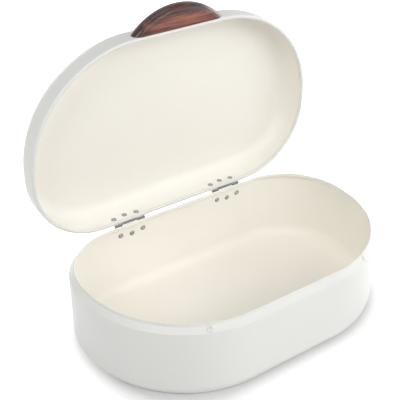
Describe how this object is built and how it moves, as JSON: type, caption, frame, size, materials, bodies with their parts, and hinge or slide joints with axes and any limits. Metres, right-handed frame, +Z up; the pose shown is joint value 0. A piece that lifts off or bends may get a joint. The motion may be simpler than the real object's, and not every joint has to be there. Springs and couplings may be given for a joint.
{
  "type": "oval bread box",
  "caption": "Low oval box of painted sheet metal, open at the top, with a dished lid on rear hinges and a half-moon wooden grip at the front of the lid.",
  "frame": {"origin": "on the surface the box stands on, under the middle of the body's plan", "axes": "+X along the length to the right seen from the front, +Y from the front to the hinges at the back, +Z up"},
  "size_m": [0.404, 0.2818, 0.3704],
  "materials": {
    "body_enamel": "smooth satin powder coat, warm white",
    "walnut": "dark red-brown wood, semi-gloss varnish",
    "hinge_steel": "plain rolled steel, slightly dull",
    "rivet_steel": "bright zinc, slightly dull",
    "fastener_steel": "zinc-plated steel",
    "clear_silicone": "soft clear silicone"
  },
  "bodies": {
    "base": {"base_shell": "body_enamel", "hinge_left_base_leaf": "hinge_steel", "hinge_left_pin": "hinge_steel", "hinge_right_base_leaf": "hinge_steel", "hinge_right_pin": "hinge_steel", "rivets_left_base": "rivet_steel", "rivets_right_base": "rivet_steel", "bumper_left": "clear_silicone", "bumper_right": "clear_silicone"},
    "lid": {"lid_shell": "body_enamel", "lid_grip": "walnut", "grip_screws": "fastener_steel", "hinge_left_lid_leaf": "hinge_steel", "rivets_left_lid": "rivet_steel", "hinge_right_lid_leaf": "hinge_steel", "rivets_right_lid": "rivet_steel"}
  },
  "joints": [
    {"name": "lid_hinge", "type": "hinge", "parent": "base", "child": "lid", "pos_m": [0, 0.1236, 0.0974], "axis": [1, 0, 0], "range_deg": [0, 87]}
  ]
}
